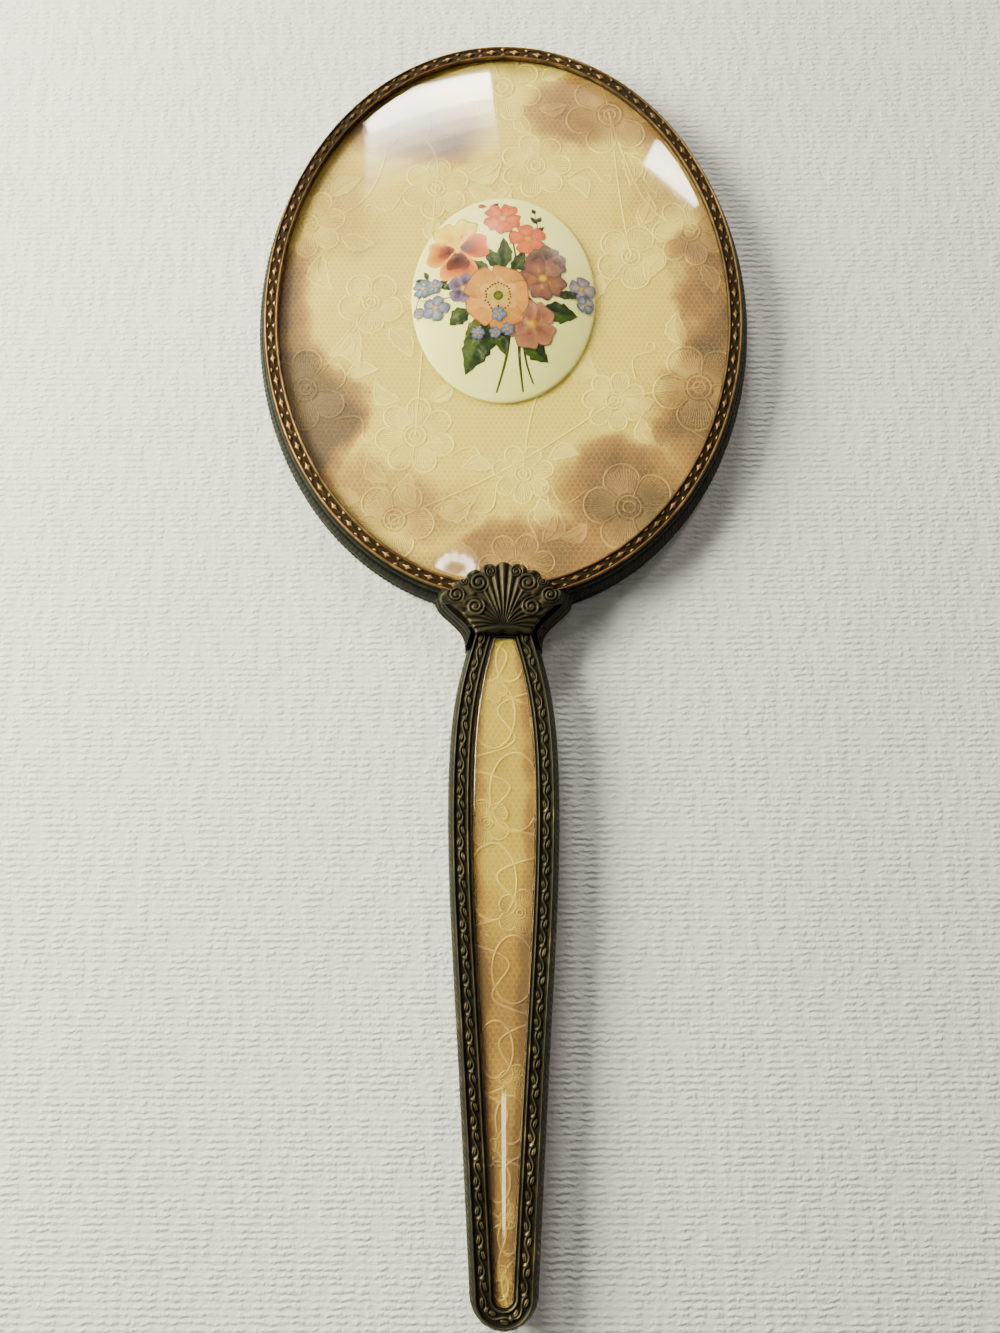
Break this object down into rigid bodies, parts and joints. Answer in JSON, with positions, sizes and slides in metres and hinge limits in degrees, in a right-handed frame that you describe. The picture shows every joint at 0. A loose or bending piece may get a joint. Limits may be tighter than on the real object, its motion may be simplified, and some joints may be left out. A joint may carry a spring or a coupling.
{
  "type": "hand_mirror",
  "caption": "Vintage dressing-table hand mirror: oval head in an embossed brass frame, lace over satin with a floral cabochon under a clear domed cover, and a long lace-panelled handle.",
  "frame": {"origin": "under the middle of the overall length, on the plane of the rim's rest face", "axes": "+Z away from the mirror side, +Y from handle to head, X across"},
  "size_m": [0.108, 0.27, 0.0134],
  "materials": {
    "dark_brass": "embossed, dark patina",
    "bright_brass": "embossed, worn patina",
    "clear_glass": "polished, bevelled",
    "silvering": "silvered",
    "card": "plain",
    "satin": "satin weave, age stained",
    "lace": "lace on a net ground",
    "porcelain": "glazed, printed flowers",
    "clear_acetate": "clear, polished",
    "steel": "plain",
    "core_wood": "plain"
  },
  "bodies": {
    "root": {"front_rim": "dark_brass", "back_bezel": "bright_brass", "mirror_glass": "clear_glass", "mirror_silvering": "silvering", "mirror_backing_card": "card", "packing_card": "card", "cover_card": "card", "satin_lining": "satin", "lace_overlay": "lace", "cabochon": "porcelain", "head_cover": "clear_acetate", "neck_saddle": "dark_brass", "shell_badge": "dark_brass", "tang": "steel", "tang_rivets": "steel", "handle_core": "core_wood", "handle_back_frame": "dark_brass", "handle_back_card": "card", "handle_back_satin": "satin", "handle_back_lace": "lace", "handle_back_cover": "clear_acetate", "handle_front_frame": "dark_brass", "handle_front_card": "card", "handle_front_satin": "satin", "handle_front_lace": "lace", "handle_front_cover": "clear_acetate"}
  },
  "joints": []
}
